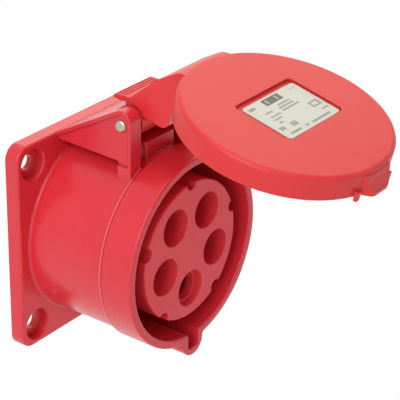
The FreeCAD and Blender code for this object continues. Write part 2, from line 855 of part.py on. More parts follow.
def add_insert():
    """Contact insert: fluted core with five stepped chambers, carried by the disc behind it."""
    body = new_body("contact_insert")
    core = Profile(body, "core", "XY_Plane")
    core.outline([
        (0, 0),
        (insert_r, 0),
        (insert_r, -insert_face, S.insert_round),
        (0, -insert_face)])
    revolve(body, core)

    flute = Profile(body, "flute", "XZ_Plane", offset=(0, 0, insert_face))
    flute.circle(0, insert_r, S.flute_dia / 2)
    ring_of(body, [pocket(body, flute, insert_face - S.partition - 2)], 5)

    entry_r = S.entry_dia / 2
    line_step = S.line_entry_depth
    line = chamber(body, "line_chamber", LINE_ANGLES[0], [
        (-insert_face + line_step, -insert_face - 1, entry_r),
        (-S.shoulder_length, -insert_face + line_step, line_r + S.ring_thick + 0.25),
        (1, -S.shoulder_length, line_r + S.shoulder_step + S.slide_gap)])
    ring_of(body, [line], 4, POLE_STEP * 3)
    ledge = S.earth_entry_depth + S.earth_ledge
    chamber(body, "earth_chamber", EARTH_ANGLE, [
        (-insert_face + S.earth_entry_depth, -insert_face - 1, entry_r),
        (-insert_face + ledge, -insert_face + S.earth_entry_depth, S.earth_ledge_dia / 2, S.earth_lead_in),
        (-S.shoulder_length, -insert_face + ledge, earth_r + S.ring_thick + 0.25),
        (1, -S.shoulder_length, earth_r + S.shoulder_step + S.slide_gap)])

    for number, angle in enumerate(JOIN_ANGLES):
        hole = Profile(body, "join_thread_{}".format(number), "XZ_Plane", offset=(0, 0, S.join_grip + 0.2))
        hole.circle(join_circle * cosd(angle), join_circle * sind(angle), S.join_dia / 2 + S.press_gap)
        pocket(body, hole, S.join_grip + 2)
    return body


def add_carrier():
    """Terminal carrier behind the panel: fixing disc, hub with wire holes and radial screw holes."""
    body = new_body("terminal_carrier")
    core = Profile(body, "core", "XY_Plane")
    core.outline([
        (0, 0),
        (carrier_r, 0),
        (carrier_r, S.carrier_base, S.carrier_round / 2),
        (hub_r, S.carrier_base),
        (hub_r, carrier_end, S.carrier_round),
        (0, carrier_end)])
    revolve(body, core)
    floor = carrier_end - S.carrier_floor
    wire_r = S.wire_dia / 2 + S.fit_gap
    line = chamber(body, "line_chamber", LINE_ANGLES[0], [
        (floor, -1, line_r + S.slide_gap), (carrier_end + 1, floor, wire_r)])
    ring_of(body, [line], 4, POLE_STEP * 3)
    chamber(body, "earth_chamber", EARTH_ANGLE, [
        (floor, -1, earth_r + S.slide_gap), (carrier_end + 1, floor, wire_r)])

    access = Profile(body, "screw_access", "XZ_Plane", offset=(0, 0, -terminal_back), turn=EARTH_ANGLE)
    access.outline([
        (S.pole_radius + earth_r / 2, 0),
        (S.pole_radius + earth_r / 2, S.clamp_dia / 2 + S.slide_gap),
        (hub_r + 1, S.clamp_dia / 2 + S.slide_gap),
        (hub_r + 1, 0)])
    ring_of(body, [groove(body, access, axis="H_Axis")], 5)

    for number, angle in enumerate(JOIN_ANGLES):
        centre = (join_circle * cosd(angle), 0, join_circle * sind(angle))
        hole = Profile(body, "join_hole_{}".format(number), "XY_Plane", offset=centre)
        hole.outline([
            (0, -1),
            (S.join_dia / 2 + 0.25, -1),
            (S.join_dia / 2 + 0.25, S.carrier_base),
            (S.join_head_dia / 2 + 0.2, S.carrier_base),
            (S.join_head_dia / 2 + 0.2, carrier_end + 1),
            (0, carrier_end + 1)])
        groove(body, hole)
    for number, angle in enumerate(FIX_ANGLES):
        hole = Profile(body, "fixing_hole_{}".format(number), "XZ_Plane")
        hole.circle(fix_circle * cosd(angle), fix_circle * sind(angle), S.fix_dia / 2 + 0.25)
        pocket(body, hole, S.carrier_base + 1)
    return body


def at_pole(body, angle):
    """Set a body on the pole circle with its own +X pointing outward."""
    angle = dim(angle)
    place(body, (S.pole_radius * cosd(angle), 0, S.pole_radius * sind(angle)), (0, 1, 0), -angle)


def add_contact(label, angle, bore, outer, front):
    """Socket contact: sprung sleeve in front, shoulder, wire barrel behind."""
    body = new_body(label)
    tube = Profile(body, "tube", "XY_Plane")
    rear = contact_back
    tube.outline([
        (0, -front + S.mate_depth),
        (bore / 2, -front + S.mate_depth),
        (bore / 2, -front + 0.5),
        (bore / 2 + 0.5, -front),
        (outer, -front),
        (outer, -S.shoulder_length),
        (outer + S.shoulder_step, -S.shoulder_length),
        (outer + S.shoulder_step, -S.slide_gap),
        (outer, -S.slide_gap),
        (outer, rear),
        (S.wire_dia / 2, rear),
        (S.wire_dia / 2, rear - S.wire_depth),
        (0, rear - S.wire_depth)])
    revolve(body, tube)
    slit = Profile(body, "slit", "YZ_Plane")
    slit.outline(box_corners(-front - 1, -front + S.mate_depth * 0.7, -0.3, 0.3))
    pocket(body, slit, outer * 2 + 1, both=True)
    tap = Profile(body, "clamp_thread", "XZ_Plane", offset=(0, 0, -terminal_back))
    tap.outline(box_corners(0, outer + 1, 0, S.clamp_dia / 2 + S.press_gap))
    groove(body, tap, axis="H_Axis")
    at_pole(body, angle)
    return body


def add_sleeve_ring(label, angle, outer, front):
    """Split spring ring round a contact sleeve."""
    body = new_body(label)
    ring = Profile(body, "ring", "XZ_Plane", offset=(0, 0, front - S.ring_setback))
    ring.circle(0, 0, outer + S.ring_thick)
    ring.circle(0, 0, outer + S.press_gap)
    pad(body, ring, S.ring_length, back=True)
    gap = Profile(body, "gap", "XZ_Plane", offset=(0, 0, front))
    gap.outline(box_corners(-S.ring_gap / 2, S.ring_gap / 2, 0, outer + S.ring_thick * 2))
    pocket(body, gap, S.ring_length + S.ring_setback + 1)
    at_pole(body, angle)
    return body


def add_clamp_screw(label, angle):
    """Headless slotted terminal screw, set radially through the carrier into the contact."""
    body = new_body(label)
    core = Profile(body, "core", "XY_Plane")
    head = hub_r - S.clamp_sunk - S.pole_radius
    core.outline([
        (S.clamp_bite, 0),
        (head, 0),
        (head, S.clamp_dia / 2, 0.3),
        (S.clamp_bite + 0.5, S.clamp_dia / 2),
        (S.clamp_bite, S.clamp_dia / 2 - 0.5)])
    revolve(body, core, axis="H_Axis")
    slot = Profile(body, "slot", "XY_Plane")
    slot.outline(box_corners(head - S.slot_depth, head + 1, -S.slot_width / 2, S.slot_width / 2))
    pocket(body, slot, S.clamp_dia + 1, both=True)
    angle = dim(angle)
    place(body, (S.pole_radius * cosd(angle), terminal_back, S.pole_radius * sind(angle)),
          (0, 1, 0), -angle)
    return body


def add_axial_screw(label, angle, circle, seat, shank, head_dia, head, length):
    """Slotted screw along -Y, its head seated at the given depth behind the panel."""
    body = new_body(label)
    core = Profile(body, "core", "XY_Plane")
    core.outline([
        (0, head),
        (head_dia / 2, head, 0.4),
        (head_dia / 2, 0),
        (shank / 2, 0),
        (shank / 2, -length + 0.4),
        (shank / 2 - 0.4, -length),
        (0, -length)])
    revolve(body, core)
    slot = Profile(body, "slot", "XZ_Plane", offset=(0, 0, -head))
    slot.outline(box_corners(-head_dia / 2 - 1, head_dia / 2 + 1, -S.slot_width / 2, S.slot_width / 2))
    pocket(body, slot, S.slot_depth, back=True)
    angle = dim(angle)
    place(body, (circle * cosd(angle), seat, circle * sind(angle)))
    return body


def add_flange_gasket():
    """Ring seal in the back of the flange."""
    body = new_body("flange_gasket")
    ring = Profile(body, "ring", "XY_Plane")
    ring.outline(box_corners(seal_in, seal_in + S.seal_width, -S.seal_thick, 0))
    revolve(body, ring)
    return body


def add_contacts():
    made = []
    poles = [("line_{}".format(i + 1), angle) for i, angle in enumerate(LINE_ANGLES)]
    poles.append(("neutral", NEUTRAL_ANGLE))
    for name, angle in poles:
        made.append(add_contact("contact_" + name, angle, S.line_bore, line_r, line_front))
        made.append(add_sleeve_ring("sleeve_ring_" + name, angle, line_r, line_front))
        made.append(add_clamp_screw("clamp_screw_" + name, angle))
    made.append(add_contact("contact_earth", EARTH_ANGLE, S.earth_bore, earth_r, earth_front))
    made.append(add_sleeve_ring("sleeve_ring_earth", EARTH_ANGLE, earth_r, earth_front))
    made.append(add_clamp_screw("clamp_screw_earth", EARTH_ANGLE))
    return made


def add_axial_screws():
    made = []
    for number, angle in enumerate(FIX_ANGLES, start=1):
        made.append(add_axial_screw(
            "insert_screw_{}".format(number), angle, fix_circle, S.carrier_base,
            S.fix_dia, S.fix_head_dia, S.fix_head, S.fix_length))
    seat = S.carrier_base
    for number, angle in enumerate(JOIN_ANGLES, start=1):
        made.append(add_axial_screw(
            "carrier_screw_{}".format(number), angle, join_circle, seat,
            S.join_dia, S.join_head_dia, S.join_head, seat + S.join_grip))
    return made


def build():
    pieces = [add_housing(), add_lid()]
    pieces += add_lid_trim()
    pieces += add_hinge()
    pieces += [add_insert(), add_carrier(), add_flange_gasket()]
    pieces += add_contacts()
    pieces += add_axial_screws()
    doc.recompute()
    for item in doc.Objects:
        if "Invalid" in item.State or "Error" in item.State:
            raise RuntimeError("{} is {}".format(item.Label, item.State))
    os.makedirs("parts", exist_ok=True)
    for piece in pieces:
        shape = piece.Shape
        if shape.isNull() or not shape.isValid() or len(shape.Solids) != 1:
            raise RuntimeError("{} is not one valid solid".format(piece.Label))
        shape.exportStep(os.path.join(OUT, piece.Label + ".step"))
        box = shape.BoundBox
        print("{:24s} {:10.1f} mm3  x {:7.2f} {:7.2f}  y {:7.2f} {:7.2f}  z {:7.2f} {:7.2f}".format(
            piece.Label, shape.Volume, box.XMin, box.XMax, box.YMin, box.YMax, box.ZMin, box.ZMax))


build()
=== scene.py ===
"""Dressed scene of an industrial panel socket with its hinged lid standing open.

Metres, +Z up, the mouth looks along -Y and the flange's back face lies on y = 0.
"""

import json
import logging
import math
from dataclasses import dataclass, field
from enum import Enum
from typing import Any, Optional, Sequence

import bmesh
import bpy
from mathutils import Matrix, Vector

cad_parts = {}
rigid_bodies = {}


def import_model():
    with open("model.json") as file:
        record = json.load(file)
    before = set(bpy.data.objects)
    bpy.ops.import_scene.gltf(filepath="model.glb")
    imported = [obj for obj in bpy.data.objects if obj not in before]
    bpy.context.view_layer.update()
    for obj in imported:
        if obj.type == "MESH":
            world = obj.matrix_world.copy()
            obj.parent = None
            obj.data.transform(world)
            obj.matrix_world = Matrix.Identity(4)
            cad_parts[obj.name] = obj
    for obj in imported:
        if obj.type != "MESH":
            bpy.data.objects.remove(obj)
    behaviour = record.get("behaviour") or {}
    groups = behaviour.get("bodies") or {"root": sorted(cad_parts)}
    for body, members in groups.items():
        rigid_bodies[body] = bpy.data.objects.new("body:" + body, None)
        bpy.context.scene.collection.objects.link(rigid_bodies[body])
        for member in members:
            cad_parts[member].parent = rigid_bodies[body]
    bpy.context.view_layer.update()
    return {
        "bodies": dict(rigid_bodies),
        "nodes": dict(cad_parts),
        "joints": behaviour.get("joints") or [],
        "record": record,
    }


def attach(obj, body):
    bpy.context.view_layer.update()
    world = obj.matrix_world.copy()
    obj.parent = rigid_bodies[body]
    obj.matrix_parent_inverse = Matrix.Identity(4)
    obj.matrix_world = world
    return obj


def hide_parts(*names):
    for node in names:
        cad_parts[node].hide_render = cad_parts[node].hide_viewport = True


MM = 0.001
LABEL_UV = "face"
HINGE_MM = (0.0, -31.6, 46.7)
LOG = logging.getLogger("panel_socket")


class Grain(Enum):
    """How the mould's wall was finished, as grain size in millimetres and depth."""

    SATIN = (0.55, 0.12)
    SPARK = (0.35, 0.25)


def linear(code: str, alpha: float = 1.0) -> tuple[float, float, float, float]:
    """Turn an sRGB hex colour to linear.

    Args:
        code: Colour as "#RRGGBB".
        alpha: Value of the fourth channel.

    Returns:
        Linear red, green, blue and alpha.
    """
    parts = [int(code[i:i + 2], 16) / 255.0 for i in (1, 3, 5)]
    flat = [p / 12.92 if p <= 0.04045 else ((p + 0.055) / 1.055) ** 2.4 for p in parts]
    return flat[0], flat[1], flat[2], alpha


def add_node(tree: bpy.types.NodeTree, kind: str, sockets: Optional[dict[Any, Any]] = None,
             **settings: Any) -> bpy.types.Node:
    """Add one node with its settings, values and links.

    Args:
        tree: Node tree that gets the node.
        kind: Node type, such as "ShaderNodeBump".
        sockets: Input name or index to a value, or to the socket that feeds it.
        **settings: Properties of the node itself.

    Returns:
        The new node.
    """
    node = tree.nodes.new(kind)
    for name, value in settings.items():
        setattr(node, name, value)
    for key, value in (sockets or {}).items():
        if isinstance(value, bpy.types.NodeSocket):
            tree.links.new(value, node.inputs[key])
        else:
            node.inputs[key].default_value = value
    return node


def new_material(name: str) -> tuple[bpy.types.Material, bpy.types.NodeTree, bpy.types.Node]:
    """Make an empty material with its Principled shader.

    Args:
        name: Name of the material.

    Returns:
        The material, its node tree and the shader node.
    """
    material = bpy.data.materials.new(name)
    material.use_nodes = True
    tree = material.node_tree
    tree.nodes.clear()
    shader = add_node(tree, "ShaderNodeBsdfPrincipled")
    add_node(tree, "ShaderNodeOutputMaterial", {"Surface": shader.outputs["BSDF"]})
    return material, tree, shader


@dataclass(frozen=True)
class PaintedStepLight:
    """Step at the collar's start, drawn as two soft bands of colour: a painted highlight along its edge and a
    painted shadow beside it.
    """

    level_mm: float = -36.3
    half_mm: float = 0.4
    reach_mm: float = 34.7
    # painted highlight along the step's edge
    crest_highlight: str = "#F05A60"
    # painted shadow at the step's foot
    foot: str = "#B01C27"
    foot_shift: float = 1.7
    shadow_share: float = 0.9
    firm_share: float = 0.4

    def band(self, tree: bpy.types.NodeTree, split: bpy.types.Node, near: bpy.types.NodeSocket,
             level_mm: float, half_mm: float) -> bpy.types.NodeSocket:
        """Soft band round the shroud at one distance from the flange's back.

        Args:
            tree: Material's node tree.
            split: Node with the separate object coordinates.
            near: One inside the shroud's reach, nought outside it.
            level_mm: Middle of the band along Y.
            half_mm: Half of its width.

        Returns:
            One on the middle of the band, falling to nought at its sides.
        """
        across = add_node(tree, "ShaderNodeMath", {
            0: split.outputs["Y"], 1: level_mm * MM}, operation="SUBTRACT")
        across = add_node(tree, "ShaderNodeMath", {0: across.outputs[0]}, operation="ABSOLUTE")
        inside = add_node(tree, "ShaderNodeMapRange", {
            "Value": across.outputs[0], "From Min": half_mm * MM * self.firm_share,
            "From Max": half_mm * MM, "To Min": 1.0, "To Max": 0.0})
        mask = add_node(tree, "ShaderNodeMath", {0: inside.outputs["Result"], 1: near}, operation="MULTIPLY")
        return mask.outputs[0]

    def paint(self, tree: bpy.types.NodeTree, place: bpy.types.NodeSocket,
              colour: bpy.types.NodeSocket) -> bpy.types.NodeSocket:
        """Lay the painted highlight and the painted shadow over the wall's colour.

        Args:
            tree: Material's node tree.
            place: Object coordinates.
            colour: Colour of the plain wall.

        Returns:
            The colour with the ridge in it.
        """
        split = add_node(tree, "ShaderNodeSeparateXYZ", {"Vector": place})
        side = add_node(tree, "ShaderNodeCombineXYZ", {"X": split.outputs["X"], "Z": split.outputs["Z"]})
        far = add_node(tree, "ShaderNodeVectorMath", {0: side.outputs["Vector"]}, operation="LENGTH")
        near = add_node(tree, "ShaderNodeMath", {
            0: far.outputs["Value"], 1: self.reach_mm * MM}, operation="LESS_THAN")
        shadow_level = self.level_mm - self.half_mm * self.foot_shift
        # painted highlight band, then painted shadow band
        bands = ((self.level_mm, self.half_mm, self.crest_highlight),
                 (shadow_level, self.half_mm * self.shadow_share, self.foot))
        for level, half, code in bands:
            mask = self.band(tree, split, near.outputs[0], level, half)
            mix = add_node(tree, "ShaderNodeMix", {"Factor": mask, "A": colour, "B": linear(code)},
                           data_type="RGBA")
            colour = mix.outputs["Result"]
        return colour


@dataclass(frozen=True)
class MouldedPolyamide:
    """Injection-moulded glass-filled polyamide.

    The eye sees an even strong colour with a soft gloss, faint clouds where the melt flowed
    and edges that catch a thin light; tight inner corners get a painted shade.
    """

    name: str
    colour: str
    shade: str
    roughness: float
    grain: Grain = Grain.SATIN
    ior: float = 1.53
    level: float = 0.42
    flow_mm: float = 26.0
    edge_mm: float = 0.45
    # reach, colour, strength and range of the painted shade in inner corners
    crevice_shade_mm: float = 1.6
    corner_shade_colour: str = "#7A0F18"
    corner_shade_share: float = 0.45
    corner_shade_open: tuple[float, float] = (0.35, 0.9)
    gloss_span: tuple[float, float] = (-0.03, 0.04)
    relief_mm: float = 0.02
    step_light: Optional[PaintedStepLight] = None

    def make(self) -> bpy.types.Material:
        """Build the material from its grain, flow and edge sizes.

        Returns:
            The material.
        """
        material, tree, shader = new_material(self.name)
        place = add_node(tree, "ShaderNodeTexCoord").outputs["Object"]
        size, depth = self.grain.value
        # clouds about as wide as the melt's front
        flow = add_node(tree, "ShaderNodeTexNoise", {
            "Vector": place, "Scale": 1.0 / (self.flow_mm * MM), "Detail": 3.0,
            "Roughness": 0.55, "Distortion": 0.6})
        tint = add_node(tree, "ShaderNodeMix", {
            "Factor": flow.outputs["Fac"], "A": linear(self.colour), "B": linear(self.shade)},
            data_type="RGBA")
        colour = tint.outputs["Result"]
        # painted highlight and painted shadow at the collar step
        if self.step_light is not None:
            colour = self.step_light.paint(tree, place, colour)
        # painted shade: ambient occlusion darkens the colour in tight inner corners between ribs and walls
        occlusion = add_node(tree, "ShaderNodeAmbientOcclusion", {"Distance": self.crevice_shade_mm * MM}, samples=4)
        shade_amount = add_node(tree, "ShaderNodeMapRange", {
            "Value": occlusion.outputs["AO"], "From Min": self.corner_shade_open[0],
            "From Max": self.corner_shade_open[1], "To Min": self.corner_shade_share, "To Max": 0.0})
        shaded = add_node(tree, "ShaderNodeMix", {
            "Factor": shade_amount.outputs["Result"], "A": colour, "B": linear(self.corner_shade_colour)},
            data_type="RGBA")
        tree.links.new(shaded.outputs["Result"], shader.inputs["Base Color"])
        gloss = add_node(tree, "ShaderNodeMapRange", {
            "Value": flow.outputs["Fac"], "To Min": self.roughness + self.gloss_span[0],
            "To Max": self.roughness + self.gloss_span[1]})
        tree.links.new(gloss.outputs["Result"], shader.inputs["Roughness"])
        # spark grain is finer than this, and is drawn as coarse as a pixel needs
        skin = add_node(tree, "ShaderNodeTexNoise", {
            "Vector": place, "Scale": 1.0 / (size * MM), "Detail": 2.0, "Roughness": 0.5})
        # every moulded edge has a small radius
        edge = add_node(tree, "ShaderNodeBevel", {"Radius": self.edge_mm * MM}, samples=6)
        bump = add_node(tree, "ShaderNodeBump", {
            "Height": skin.outputs["Fac"], "Strength": depth, "Distance": self.relief_mm * MM,
            "Normal": edge.outputs["Normal"]})
        tree.links.new(bump.outputs["Normal"], shader.inputs["Normal"])
        shader.inputs["IOR"].default_value = self.ior
        shader.inputs["Specular IOR Level"].default_value = self.level
        return material


@dataclass(frozen=True)
class WorkedMetal:
    """Drawn, turned or plated metal.

    The eye sees an even metal body with soft streaks, long where the tool or the die ran.
    Real tool lines are about 0.1 mm apart, finer than a pixel, so they are drawn coarser.
    """

    name: str
    colour: str
    roughness: float
    line_mm: float = 0.4
    along: tuple[float, float, float] = (1.0, 1.0, 1.0)
    dark_share: float = 0.82
    gloss_span: tuple[float, float] = (-0.06, 0.08)

    def make(self) -> bpy.types.Material:
        """Build the material with its tool lines.

        Returns:
            The material.
        """
        material, tree, shader = new_material(self.name)
        place = add_node(tree, "ShaderNodeTexCoord").outputs["Object"]
        stretch = add_node(tree, "ShaderNodeMapping", {"Vector": place, "Scale": self.along})
        lines = add_node(tree, "ShaderNodeTexNoise", {
            "Vector": stretch.outputs["Vector"], "Scale": 1.0 / (self.line_mm * MM), "Detail": 2.0})
        light = linear(self.colour)
        dark = tuple(channel * self.dark_share for channel in light[:3]) + (1.0,)
        tint = add_node(tree, "ShaderNodeMix", {
            "Factor": lines.outputs["Fac"], "A": light, "B": dark}, data_type="RGBA")
        tree.links.new(tint.outputs["Result"], shader.inputs["Base Color"])
        rough = add_node(tree, "ShaderNodeMapRange", {
            "Value": lines.outputs["Fac"], "To Min": self.roughness + self.gloss_span[0],
            "To Max": self.roughness + self.gloss_span[1]})
        tree.links.new(rough.outputs["Result"], shader.inputs["Roughness"])
        shader.inputs["Metallic"].default_value = 1.0
        return material


@dataclass(frozen=True)
class MouldedRubber:
    """Press-moulded black rubber.

    The eye sees a dull black with a dusty bloom in patches.
    """

    name: str = "rubber_press_moulded"
    colour: str = "#1B1B1D"
    bloom: str = "#2C2B2B"
    patch_mm: float = 3.0
    relief_mm: float = 0.03
    roughness: float = 0.72

    def make(self) -> bpy.types.Material:
        """Build the material with its bloom.

        Returns:
            The material.
        """
        material, tree, shader = new_material(self.name)
        place = add_node(tree, "ShaderNodeTexCoord").outputs["Object"]
        dust = add_node(tree, "ShaderNodeTexNoise", {
            "Vector": place, "Scale": 1.0 / (self.patch_mm * MM), "Detail": 4.0})
        tint = add_node(tree, "ShaderNodeMix", {
            "Factor": dust.outputs["Fac"], "A": linear(self.colour), "B": linear(self.bloom)},
            data_type="RGBA")
        tree.links.new(tint.outputs["Result"], shader.inputs["Base Color"])
        bump = add_node(tree, "ShaderNodeBump", {
            "Height": dust.outputs["Fac"], "Strength": 0.2, "Distance": self.relief_mm * MM})
        tree.links.new(bump.outputs["Normal"], shader.inputs["Normal"])
        shader.inputs["Roughness"].default_value = self.roughness
        return material


@dataclass(frozen=True)
class Mark:
    """Plain printed block on the label, as shares of the label's width and height."""

    left: float
    right: float
    low: float
    high: float
    ink: str
    dashed: bool = False

    def mask(self, tree: bpy.types.NodeTree, split: bpy.types.Node,
             comb: bpy.types.NodeSocket) -> bpy.types.NodeSocket:
        """Find where the block lies.

        Args:
            tree: Material's node tree.
            split: Node with the separate UV coordinates.
            comb: One on the dashes and nought between them.

        Returns:
            One inside the block, nought outside it.
        """
        bounds = (("X", self.left, "GREATER_THAN"), ("X", self.right, "LESS_THAN"),
                  ("Y", self.low, "GREATER_THAN"), ("Y", self.high, "LESS_THAN"))
        inside: Optional[bpy.types.NodeSocket] = comb if self.dashed else None
        for axis, edge, kind in bounds:
            test = add_node(tree, "ShaderNodeMath", {0: split.outputs[axis], 1: edge}, operation=kind)
            if inside is None:
                inside = test.outputs[0]
            else:
                both = add_node(tree, "ShaderNodeMath", {0: inside, 1: test.outputs[0]}, operation="MULTIPLY")
                inside = both.outputs[0]
        return inside


@dataclass(frozen=True)
class PrintedFilm:
    """Printed polyester film.

    The eye sees a satin off-white with plain grey blocks and dashes, and no lettering.
    """

    name: str = "film_printed_plain"
    colour: str = "#D0D8D0"
    roughness: float = 0.45
    dashes: float = 31.0
    dash_share: float = 0.66
    marks: tuple[Mark, ...] = (
        Mark(0.32, 0.64, 0.80, 0.96, "#5C625C"), Mark(0.37, 0.40, 0.83, 0.93, "#AEB3AA"),
        Mark(0.55, 0.58, 0.83, 0.93, "#AEB3AA"), Mark(0.04, 0.16, 0.85, 0.92, "#6C726B", True),
        Mark(0.84, 0.94, 0.88, 0.91, "#A2A79F", True), Mark(0.44, 0.66, 0.70, 0.74, "#6C726B", True),
        Mark(0.40, 0.68, 0.63, 0.67, "#6C726B", True), Mark(0.40, 0.72, 0.56, 0.60, "#6C726B", True),
        Mark(0.16, 0.28, 0.65, 0.69, "#7A8079", True), Mark(0.16, 0.34, 0.54, 0.58, "#7A8079", True),
        Mark(0.14, 0.30, 0.46, 0.50, "#7A8079", True), Mark(0.16, 0.22, 0.36, 0.41, "#9DA29A"),
        Mark(0.78, 0.95, 0.32, 0.47, "#9DA29A"), Mark(0.82, 0.91, 0.36, 0.43, "#D0D8D0"),
        Mark(0.84, 0.96, 0.20, 0.24, "#7A8079", True), Mark(0.25, 0.36, 0.19, 0.30, "#9DA29A"),
        Mark(0.05, 0.14, 0.22, 0.31, "#9DA29A"), Mark(0.10, 0.30, 0.07, 0.12, "#6C726B", True),
        Mark(0.38, 0.44, 0.07, 0.12, "#6C726B", True), Mark(0.50, 0.86, 0.06, 0.11, "#6C726B", True))

    def make(self) -> bpy.types.Material:
        """Build the material; its marks follow the label's own UV map.

        Returns:
            The material.
        """
        material, tree, shader = new_material(self.name)
        spot = add_node(tree, "ShaderNodeUVMap", uv_map=LABEL_UV)
        split = add_node(tree, "ShaderNodeSeparateXYZ", {"Vector": spot.outputs["UV"]})
        comb = add_node(tree, "ShaderNodeMath", {0: split.outputs["X"], 1: self.dashes}, operation="MULTIPLY")
        comb = add_node(tree, "ShaderNodeMath", {0: comb.outputs[0]}, operation="FRACT")
        comb = add_node(tree, "ShaderNodeMath", {0: comb.outputs[0], 1: self.dash_share},
                        operation="LESS_THAN")
        colour: Any = linear(self.colour)
        for mark in self.marks:
            mix = add_node(tree, "ShaderNodeMix", {
                "Factor": mark.mask(tree, split, comb.outputs[0]), "A": colour, "B": linear(mark.ink)},
                data_type="RGBA")
            colour = mix.outputs["Result"]
        tree.links.new(colour, shader.inputs["Base Color"])
        shader.inputs["Roughness"].default_value = self.roughness
        return material


@dataclass(frozen=True)
class Finishes:
    """Every finish of the socket, made once."""

    housing: bpy.types.Material
    lid: bpy.types.Material
    insert: bpy.types.Material
    carrier: bpy.types.Material
    rubber: bpy.types.Material
    pin: bpy.types.Material
    spring: bpy.types.Material
    brass: bpy.types.Material
    screw: bpy.types.Material
    film: bpy.types.Material

    @classmethod
    def build(cls) -> "Finishes":
        """Make all materials.

        Returns:
            The finishes of the socket.
        """
        return cls(
            housing=MouldedPolyamide("polyamide_moulded_housing", "#DC303C", "#D42C39", 0.27,
                                     step_light=PaintedStepLight()).make(),
            lid=MouldedPolyamide("polyamide_moulded_lid", "#DE3233", "#D62D30", 0.36, level=0.36).make(),
            insert=MouldedPolyamide("polyamide_moulded_insert", "#E63C46", "#DE3842", 0.42,
                                    Grain.SPARK, level=0.36).make(),
            carrier=MouldedPolyamide("polyamide_moulded_carrier", "#2E2624", "#352B28", 0.5,
                                     Grain.SPARK).make(),
            rubber=MouldedRubber().make(),
            pin=WorkedMetal("stainless_drawn_pin", "#C9C2B4", 0.34, 0.45, (0.15, 1.0, 1.0)).make(),
            spring=WorkedMetal("spring_steel_drawn_wire", "#8E8C88", 0.3, 0.35).make(),
            brass=WorkedMetal("brass_turned", "#CDB06A", 0.3, along=(0.15, 1.0, 0.15)).make(),
            screw=WorkedMetal("steel_zinc_plated", "#B4B6B2", 0.32).make(),
            film=PrintedFilm().make())


@dataclass
class DressedNode:
    """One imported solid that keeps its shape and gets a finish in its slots."""

    node: str
    finish: str

    def build(self, frame: dict[str, Any], finishes: Finishes) -> bpy.types.Object:
        """Put the finish on the solid.

        Args:
            finishes: All finishes of the socket.

        Returns:
            The solid.
        """
        piece = frame["nodes"][self.node]
        piece.data.materials.clear()
        piece.data.materials.append(getattr(finishes, self.finish))
        LOG.info("finish %s on %s", self.finish, piece.name)
        return piece


@dataclass
class Mouldings:
    """The two mouldings of the outside, insert and carrier behind them."""

    parts: Sequence[DressedNode] = field(default_factory=lambda: (
        DressedNode("housing", "housing"),
        DressedNode("lid", "lid"),
        DressedNode("contact_insert", "insert"),
        DressedNode("terminal_carrier", "carrier")))

    def build(self, frame: dict[str, Any], finishes: Finishes) -> list[bpy.types.Object]:
        """Dress the mouldings in their finishes.

        Args:
            finishes: All finishes of the socket.

        Returns:
            The dressed solids.
        """
        return [part.build(frame, finishes) for part in self.parts]


@dataclass
class WebFoot:
    """Low rib that closes the gap between shroud and right web behind its post."""

    left_mm: float = 12.75
    right_mm: float = 17.5
    front_mm: float = -31.8
    back_mm: float = -27.6
    top_mm: float = 36.4
    sink_mm: float = 32.9

    def mesh(self) -> bpy.types.Mesh:
        """Block whose foot follows a circle inside the shroud's wall.

        Returns:
            The rib's mesh.
        """
        sides = (self.left_mm, self.right_mm)
        low = [math.sqrt(self.sink_mm ** 2 - x ** 2) for x in sides]
        outline = ((sides[0], low[0]), (sides[1], low[1]), (sides[1], self.top_mm), (sides[0], self.top_mm))
        points = [(x * MM, y * MM, z * MM) for y in (self.front_mm, self.back_mm) for x, z in outline]
        count = len(outline)
        walls = [(i, i + count, (i + 1) % count + count, (i + 1) % count) for i in range(count)]
        mesh = bpy.data.meshes.new("web_foot_rib")
        mesh.from_pydata(points, [], [(0, 1, 2, 3), (7, 6, 5, 4), *walls])
        return mesh

    def build(self, finish: bpy.types.Material) -> bpy.types.Object:
        """Set the rib on the shroud, its foot and top sunk into the moulding.

        Args:
            finish: The housing's finish.

        Returns:
            The rib.
        """
        mesh = self.mesh()
        mesh.materials.append(finish)
        piece = bpy.data.objects.new(mesh.name, mesh)
        bpy.context.scene.collection.objects.link(piece)
        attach(piece, "housing")
        LOG.info("piece %s", piece.name)
        return piece


@dataclass
class LabelPlate:
    """Film label in the recess of the cap."""

    tilt_deg: float = 14.07
    merge_mm: float = 0.002

    def map_face(self, mesh: bpy.types.Mesh) -> None:
        """Give the label a UV map that spans its face, with the cap laid flat.

        Args:
            mesh: The label's merged mesh.
        """
        turn = Matrix.Rotation(-math.radians(self.tilt_deg), 4, "X")
        flat = [turn @ (v.co - Vector(HINGE_MM) * MM) for v in mesh.vertices]
        low = Vector((min(p.x for p in flat), min(p.y for p in flat), 0))
        high = Vector((max(p.x for p in flat), max(p.y for p in flat), 0))
        layer = mesh.uv_layers.new(name=LABEL_UV)
        for loop in mesh.loops:
            p = flat[loop.vertex_index]
            layer.data[loop.index].uv = ((p.x - low.x) / (high.x - low.x), (p.y - low.y) / (high.y - low.y))

    def build(self, frame: dict[str, Any], finish: bpy.types.Material) -> bpy.types.Object:
        """Copy the label's solid, give it a UV map over its face and the film finish.

        Args:
            finish: The printed film.

        Returns:
            The label.
        """
        mesh = frame["nodes"]["lid_label"].data.copy()
        mesh.name = "lid_label_film"
        work = bmesh.new()
        work.from_mesh(mesh)
        bmesh.ops.remove_doubles(work, verts=work.verts, dist=self.merge_mm * MM)
        work.to_mesh(mesh)
        work.free()
        mesh.materials.clear()
        self.map_face(mesh)
        mesh.materials.append(finish)
        piece = bpy.data.objects.new(mesh.name, mesh)
        bpy.context.scene.collection.objects.link(piece)
        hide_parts("lid_label")
        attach(piece, "lid")
        LOG.info("piece %s", piece.name)
        return piece


